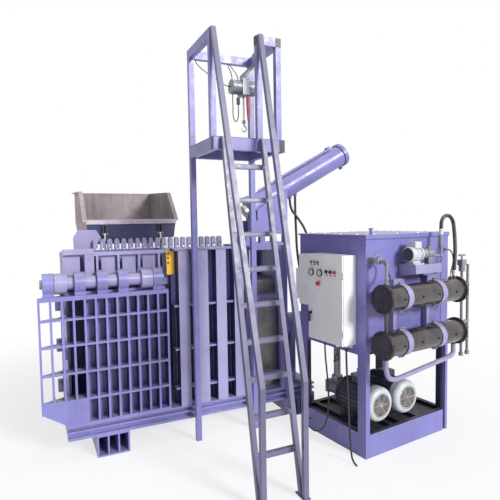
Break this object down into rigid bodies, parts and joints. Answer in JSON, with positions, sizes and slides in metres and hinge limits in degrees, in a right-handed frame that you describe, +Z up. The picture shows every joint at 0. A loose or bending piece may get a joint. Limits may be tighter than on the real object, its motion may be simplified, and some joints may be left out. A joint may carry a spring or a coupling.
{
  "type": "recycling baler",
  "caption": "Hydraulic scrap baler with a waffle-ribbed press, hinged lid, tipping hopper, inclined ram, ladder tower with hoist, and an oil power pack with coolers",
  "frame": {"origin": "on the floor, at the centre of the underside of the press's front foot", "axes": "+X along the press towards the power pack, +Y away from the operator's side, +Z up"},
  "size_m": [4.0548, 3.3617, 3.6783],
  "materials": {
    "lilac_paint": "semi-gloss lilac paint over welded plate",
    "tank_paint": "semi-gloss violet-blue paint",
    "bare_steel": "bare worn steel plate",
    "chrome_rod": "ground hard chrome",
    "yellow_paint": "yellow-orange marking paint",
    "black_plastic": "matt black",
    "hoist_metal": "grey paint with worn edges",
    "pink_cloth": "coated cloth",
    "black_rubber": "dull black rubber",
    "cooler_shell": "glossy dark brown-black paint",
    "motor_grey": "pale blue-grey paint",
    "pump_metal": "grey cast metal",
    "fan_plastic": "black moulded fan",
    "cabinet_paint": "off-white textured powder coat",
    "meter_plastic": "black rims over pale dials",
    "red_plastic": "red moulded head"
  },
  "bodies": {
    "base": {"base_frame": "lilac_paint", "side_wall": "lilac_paint", "rear_wall": "lilac_paint", "fixed_knuckles": "lilac_paint", "shear_comb": "lilac_paint", "ram_body": "lilac_paint", "guide_frame": "lilac_paint", "main_cylinder": "lilac_paint", "side_cylinder": "lilac_paint", "tamper_cylinder": "lilac_paint", "cylinder_stand": "lilac_paint", "hopper_lugs": "lilac_paint", "hopper_frame": "lilac_paint", "tower_frame": "lilac_paint", "tower_deck": "lilac_paint", "ladder": "lilac_paint", "handrails": "lilac_paint", "press_feet": "lilac_paint", "cooler_clamps": "lilac_paint", "pump_shelf": "lilac_paint", "return_pipe": "lilac_paint", "pack_skid": "tank_paint", "oil_tank": "tank_paint", "tank_cover": "tank_paint", "hinge_pin": "bare_steel", "tube_plugs": "black_plastic", "cooler_hoses": "black_rubber", "cabinet_cables": "black_rubber", "stand_hoses": "black_rubber", "coolers": "cooler_shell", "cooler_caps": "cooler_shell", "circ_motor": "motor_grey", "main_motors": "motor_grey", "circ_pump": "pump_metal", "main_pumps": "pump_metal", "pack_fittings": "pump_metal", "control_cabinet": "cabinet_paint"},
    "lid": {"lid": "lilac_paint", "lid_strip": "yellow_paint"},
    "end_door": {"end_door": "lilac_paint"},
    "main_ram": {"main_ram": "lilac_paint"},
    "side_ram": {"side_ram": "lilac_paint"},
    "tamper": {"tamper_ram": "chrome_rod"},
    "hopper": {"hopper_tray": "bare_steel"},
    "trolley": {"hoist_trolley": "hoist_metal", "hoist_body": "hoist_metal", "chain_bag": "pink_cloth", "pendant": "black_plastic", "pendant_cable": "black_rubber", "supply_cable": "black_rubber"},
    "hook": {"hoist_hook": "hoist_metal"},
    "fan_left": {"motor_fan_left": "fan_plastic"},
    "fan_right": {"motor_fan_right": "fan_plastic"},
    "cabinet_door": {"cabinet_door": "cabinet_paint", "cabinet_meters": "meter_plastic"},
    "button_1": {"push_button_1": "black_plastic"},
    "button_2": {"push_button_2": "black_plastic"},
    "button_3": {"push_button_3": "black_plastic"},
    "stop_button": {"e_stop": "red_plastic"},
    "handle": {"door_handle": "black_plastic"}
  },
  "joints": [
    {"name": "lid_hinge", "type": "hinge", "parent": "base", "child": "lid", "pos_m": [0, -0.27, 1.583], "axis": [1, 0, 0], "range_deg": [0, 95]},
    {"name": "end_door_hinge", "type": "hinge", "parent": "base", "child": "end_door", "pos_m": [-0.397, 0.29, 0.913], "axis": [0, 0, -1], "range_deg": [0, 100]},
    {"name": "main_ram_slide", "type": "slide", "parent": "base", "child": "main_ram", "axis": [-1, 0, 0], "range_m": [0, 0.62]},
    {"name": "side_ram_slide", "type": "slide", "parent": "base", "child": "side_ram", "axis": [0, -1, 0], "range_m": [0, 0.4]},
    {"name": "tamper_slide", "type": "slide", "parent": "base", "child": "tamper", "axis": [-0.8838, 0, -0.4679], "range_m": [0, 0.5]},
    {"name": "hopper_tip", "type": "hinge", "parent": "base", "child": "hopper", "pos_m": [0.3705, 0.378, 1.985], "axis": [1, 0, 0], "range_deg": [0, 50]},
    {"name": "trolley_slide", "type": "slide", "parent": "base", "child": "trolley", "axis": [0, 1, 0], "range_m": [-0.2, 0.05]},
    {"name": "hook_lift", "type": "slide", "parent": "trolley", "child": "hook", "axis": [0, 0, 1], "range_m": [0, 0.085]},
    {"name": "fan_left_spin", "type": "hinge", "parent": "base", "child": "fan_left", "pos_m": [2.22479, -1.3176, 0.402], "axis": [-0.1219, 0.9925, 0], "continuous": true},
    {"name": "fan_right_spin", "type": "hinge", "parent": "base", "child": "fan_right", "pos_m": [2.57615, -1.27445, 0.402], "axis": [-0.1219, 0.9925, 0], "continuous": true},
    {"name": "cabinet_door_hinge", "type": "hinge", "parent": "base", "child": "cabinet_door", "pos_m": [1.79888, -1.36082, 1.395], "axis": [0, 0, 1], "range_deg": [0, 110]},
    {"name": "button_1_press", "type": "slide", "parent": "cabinet_door", "child": "button_1", "axis": [0.9925, 0.1219, 0], "range_m": [0, 0.006], "stiffness_N_per_m": 400},
    {"name": "button_2_press", "type": "slide", "parent": "cabinet_door", "child": "button_2", "axis": [0.9925, 0.1219, 0], "range_m": [0, 0.006], "stiffness_N_per_m": 400},
    {"name": "button_3_press", "type": "slide", "parent": "cabinet_door", "child": "button_3", "axis": [0.9925, 0.1219, 0], "range_m": [0, 0.006], "stiffness_N_per_m": 400},
    {"name": "stop_press", "type": "slide", "parent": "cabinet_door", "child": "stop_button", "axis": [0.9925, 0.1219, 0], "range_m": [0, 0.006], "stiffness_N_per_m": 400},
    {"name": "handle_turn", "type": "hinge", "parent": "cabinet_door", "child": "handle", "pos_m": [1.74188, -0.93762, 1.242], "axis": [0.9925, 0.1219, 0], "range_deg": [0, 90]}
  ]
}
